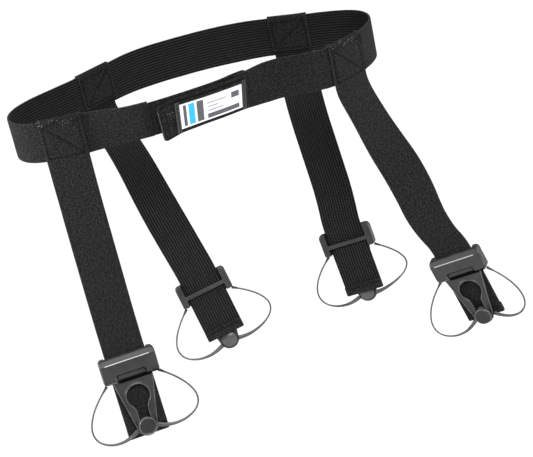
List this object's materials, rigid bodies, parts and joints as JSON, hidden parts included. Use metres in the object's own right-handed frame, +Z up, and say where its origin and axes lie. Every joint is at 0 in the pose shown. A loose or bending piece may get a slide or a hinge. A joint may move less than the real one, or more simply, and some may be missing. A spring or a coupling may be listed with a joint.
{
  "type": "hockey garter belt",
  "caption": "Elastic webbing waist band with a hook-and-loop front closure and hanging straps that end in keyhole sock clips.",
  "frame": {"origin": "middle of the waist opening, halfway up the band", "axes": "+Z up through the waist opening, -Y towards the closure at the front, +X along the ring's long way"},
  "size_m": [0.2856, 0.1405, 0.2169],
  "materials": {
    "webbing": "matt elastic webbing, fine weave outside and lengthwise ribs inside",
    "tab_cloth": "matt brushed cloth",
    "label_binding": "matt woven tape with stitching",
    "label_card": "satin coated card with plain colour blocks",
    "clip_plastic": "satin moulded",
    "lead_plastic": "satin"
  },
  "bodies": {
    "root": {"waist_band": "webbing", "loop_tab": "tab_cloth", "hook_tab": "tab_cloth", "label_pocket": "label_binding", "label_card": "label_card", "strap_front_left": "webbing", "slider_front_left": "clip_plastic", "button_front_left": "clip_plastic", "lead_front_left_left": "lead_plastic", "lead_front_left_right": "lead_plastic", "strap_front_right": "webbing", "slider_front_right": "clip_plastic", "button_front_right": "clip_plastic", "lead_front_right_left": "lead_plastic", "lead_front_right_right": "lead_plastic", "strap_rear_left": "webbing", "slider_rear_left": "clip_plastic", "button_rear_left": "clip_plastic", "lead_rear_left_left": "lead_plastic", "lead_rear_left_right": "lead_plastic", "strap_rear_right": "webbing", "slider_rear_right": "clip_plastic", "button_rear_right": "clip_plastic", "lead_rear_right_left": "lead_plastic", "lead_rear_right_right": "lead_plastic"}
  },
  "joints": []
}
